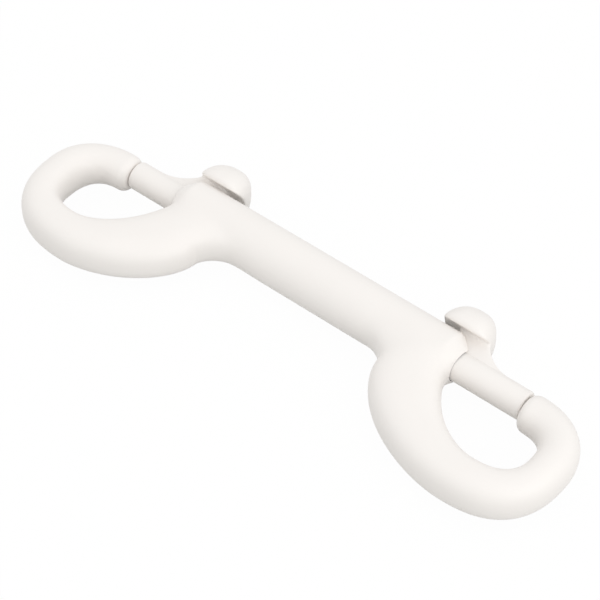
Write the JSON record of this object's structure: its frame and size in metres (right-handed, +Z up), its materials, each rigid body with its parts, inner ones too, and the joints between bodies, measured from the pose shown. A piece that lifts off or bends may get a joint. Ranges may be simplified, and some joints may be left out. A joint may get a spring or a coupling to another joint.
{
  "type": "double ended bolt snap",
  "caption": "White coated cast snap with an open hook at each end of a round stem, each shut by a sliding spring bolt with a domed thumb button.",
  "frame": {"origin": "the middle of the rectangle that the snap covers on the ground it lies on, at ground level", "axes": "+X along the stem towards the right-hand hook, +Y towards the thumb buttons, +Z up from the ground, square to the flat side of the hooks"},
  "size_m": [0.115, 0.0352, 0.0112],
  "materials": {
    "coated_casting": "smooth satin white coating over a zinc die casting",
    "spring_wire": "bright spring wire"
  },
  "bodies": {
    "body": {"body": "coated_casting", "right_spring": "spring_wire", "left_spring": "spring_wire"},
    "right_bolt": {"right_bolt": "coated_casting"},
    "left_bolt": {"left_bolt": "coated_casting"}
  },
  "joints": [
    {"name": "right_bolt_slide", "type": "slide", "parent": "body", "child": "right_bolt", "axis": [-1, 0, 0], "range_m": [0, 0.011], "stiffness_N_per_m": 300, "springref_m": -0.01, "deforming": ["right_spring"]},
    {"name": "left_bolt_slide", "type": "slide", "parent": "body", "child": "left_bolt", "axis": [1, 0, 0], "range_m": [0, 0.011], "stiffness_N_per_m": 300, "springref_m": -0.01, "deforming": ["left_spring"]}
  ]
}
